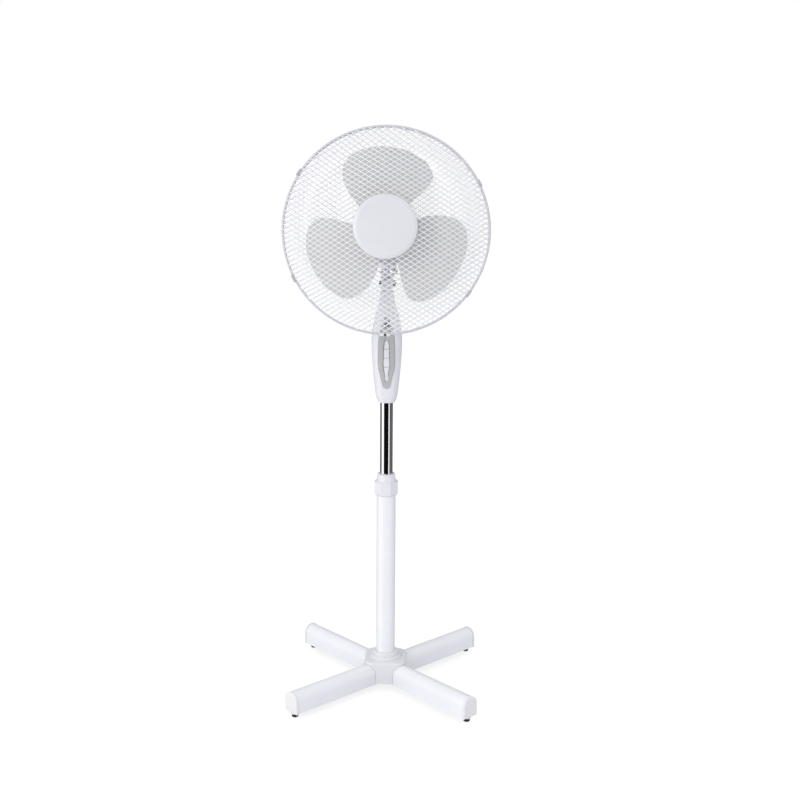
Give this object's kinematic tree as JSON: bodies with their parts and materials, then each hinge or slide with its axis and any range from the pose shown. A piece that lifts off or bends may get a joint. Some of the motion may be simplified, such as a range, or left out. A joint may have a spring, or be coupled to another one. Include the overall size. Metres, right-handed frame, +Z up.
{
  "type": "pedestal fan",
  "caption": "Floor-standing oscillating fan: cross base, telescopic pole, push-button housing, tilting head with mesh guard and broad petal blades.",
  "frame": {"origin": "on the floor under the pole, at the middle of the cross base", "axes": "+Z up; the fan blows towards -Y; +X is to the right when facing the fan"},
  "size_m": [0.43, 0.423, 1.2519],
  "materials": {
    "white_paint": "smooth white powder coat",
    "white_plastic": "semi-gloss white moulded plastic",
    "cap_plastic": "satin pale grey plastic",
    "grey_plastic": "satin mid-grey plastic",
    "blade_plastic": "translucent grey blade plastic",
    "dark_plastic": "black plastic",
    "foot_rubber": "black rubber",
    "chrome_tube": "bright chrome plate",
    "steel": "plain zinc-plated steel",
    "black_steel": "blackened steel",
    "guard_wire": "white coated wire",
    "rim_wire": "pale lilac-grey coated wire",
    "clip_plastic": "dark grey spring clip",
    "motor_casting": "as-cast aluminium",
    "lamination": "varnished steel laminations",
    "winding": "enamelled copper wire",
    "bronze": "sintered bronze",
    "gear_nylon": "natural nylon"
  },
  "bodies": {
    "stand": {"leg_bar_lower": "white_paint", "leg_bar_upper": "white_paint", "leg_end_caps": "cap_plastic", "rubber_feet": "foot_rubber", "hub_cover": "white_plastic", "pole_socket": "steel", "base_screws": "steel", "outer_tube": "white_paint", "collet_bush": "dark_plastic"},
    "height_collar": {"height_collar": "white_plastic"},
    "mast": {"inner_tube": "chrome_tube", "housing_front": "white_plastic", "housing_rear": "white_plastic", "panel_trim": "grey_plastic", "front_screw": "dark_plastic", "button_panel": "white_plastic", "switch_block": "dark_plastic", "run_capacitor": "dark_plastic", "housing_screws": "steel", "cord_inlet": "foot_rubber", "tilt_bolt": "black_steel"},
    "button_off": {"button_off": "white_plastic"},
    "button_low": {"button_low": "white_plastic"},
    "button_medium": {"button_medium": "white_plastic"},
    "button_high": {"button_high": "white_plastic"},
    "tilt_neck": {"tilt_neck": "white_plastic", "swivel_pin": "steel"},
    "crank_link": {"crank_link": "steel"},
    "head": {"motor_bracket": "white_paint", "motor_front_bell": "motor_casting", "motor_rear_bell": "motor_casting", "shaft_bearings": "bronze", "stator_core": "lamination", "stator_windings": "winding", "gearbox_case": "motor_casting", "motor_cover_front": "white_plastic", "motor_cover_rear": "white_plastic", "cover_screw": "steel", "guard_nut": "white_plastic", "front_ring": "rim_wire", "rear_rings": "rim_wire", "front_mesh_rising": "guard_wire", "front_mesh_falling": "guard_wire", "rear_mesh_rising": "guard_wire", "rear_mesh_falling": "guard_wire", "badge": "white_plastic", "lock_clip": "white_plastic", "lock_screw": "steel"},
    "rotor": {"shaft": "steel", "rotor_core": "lamination", "drive_pin": "steel", "blade": "blade_plastic", "spinner": "dark_plastic"},
    "gear": {"worm_wheel": "gear_nylon", "crank_arm": "steel"},
    "oscillation_knob": {"oscillation_knob": "white_plastic"},
    "guard_clip_1": {"guard_clip_1": "clip_plastic"},
    "guard_clip_2": {"guard_clip_2": "clip_plastic"},
    "guard_clip_3": {"guard_clip_3": "clip_plastic"},
    "guard_clip_4": {"guard_clip_4": "clip_plastic"}
  },
  "joints": [
    {"name": "collar_turn", "type": "hinge", "parent": "stand", "child": "height_collar", "pos_m": [0, 0, 0.47], "axis": [0, 0, 1], "range_deg": [0, 120]},
    {"name": "mast_slide", "type": "slide", "parent": "stand", "child": "mast", "axis": [0, 0, 1], "range_m": [-0.145, 0.1]},
    {"name": "button_off_press", "type": "slide", "parent": "mast", "child": "button_off", "axis": [0, 1, 0], "range_m": [0, 0.0035], "stiffness_N_per_m": 300},
    {"name": "button_low_press", "type": "slide", "parent": "mast", "child": "button_low", "axis": [0, 1, 0], "range_m": [0, 0.0035], "stiffness_N_per_m": 300},
    {"name": "button_medium_press", "type": "slide", "parent": "mast", "child": "button_medium", "axis": [0, 1, 0], "range_m": [0, 0.0035], "stiffness_N_per_m": 300},
    {"name": "button_high_press", "type": "slide", "parent": "mast", "child": "button_high", "axis": [0, 1, 0], "range_m": [0, 0.0035], "stiffness_N_per_m": 300},
    {"name": "head_tilt", "type": "hinge", "parent": "mast", "child": "tilt_neck", "pos_m": [0, 0, 0.92], "axis": [1, 0, 0], "range_deg": [-9, 26]},
    {"name": "head_swing", "type": "hinge", "parent": "tilt_neck", "child": "head", "pos_m": [0, 0.0042, 0.9416], "axis": [0, 0.1908, 0.9816], "range_deg": [-35, 35]},
    {"name": "link_turn", "type": "hinge", "parent": "tilt_neck", "child": "crank_link", "pos_m": [-0.01163, 0.0087, 0.94072], "axis": [0, 0.1908, 0.9816], "range_deg": [-36, 36]},
    {"name": "blade_spin", "type": "hinge", "parent": "head", "child": "rotor", "pos_m": [0, 0.01908, 1.01816], "axis": [0, -0.9816, 0.1908], "continuous": true},
    {"name": "gear_turn", "type": "hinge", "parent": "head", "child": "gear", "pos_m": [0.015, 0.05638, 1.01091], "axis": [0, 0.1908, 0.9816], "continuous": true},
    {"name": "knob_pull", "type": "slide", "parent": "head", "child": "oscillation_knob", "axis": [0, 0.1908, 0.9816], "range_m": [0, 0.008]},
    {"name": "guard_clip_1_turn", "type": "hinge", "parent": "head", "child": "guard_clip_1", "pos_m": [0.18934, -0.07378, 1.13449], "axis": [-0.454, 0.17, 0.8746], "range_deg": [0, 55]},
    {"name": "guard_clip_2_turn", "type": "hinge", "parent": "head", "child": "guard_clip_2", "pos_m": [-0.17822, -0.0701, 1.1534], "axis": [-0.5446, -0.16, -0.8233], "range_deg": [0, 55]},
    {"name": "guard_clip_3_turn", "type": "hinge", "parent": "head", "child": "guard_clip_3", "pos_m": [-0.18763, -0.11122, 0.94186], "axis": [0.4695, -0.1685, -0.8667], "range_deg": [0, 55]},
    {"name": "guard_clip_4_turn", "type": "hinge", "parent": "head", "child": "guard_clip_4", "pos_m": [0.16971, -0.11659, 0.91426], "axis": [0.6018, 0.1524, 0.784], "range_deg": [0, 55]}
  ],
  "couplings": [
    {"joint": "link_turn", "follows": "head_swing", "ratio": 0.949},
    {"joint": "gear_turn", "follows": "blade_spin", "ratio": 0.041667}
  ]
}
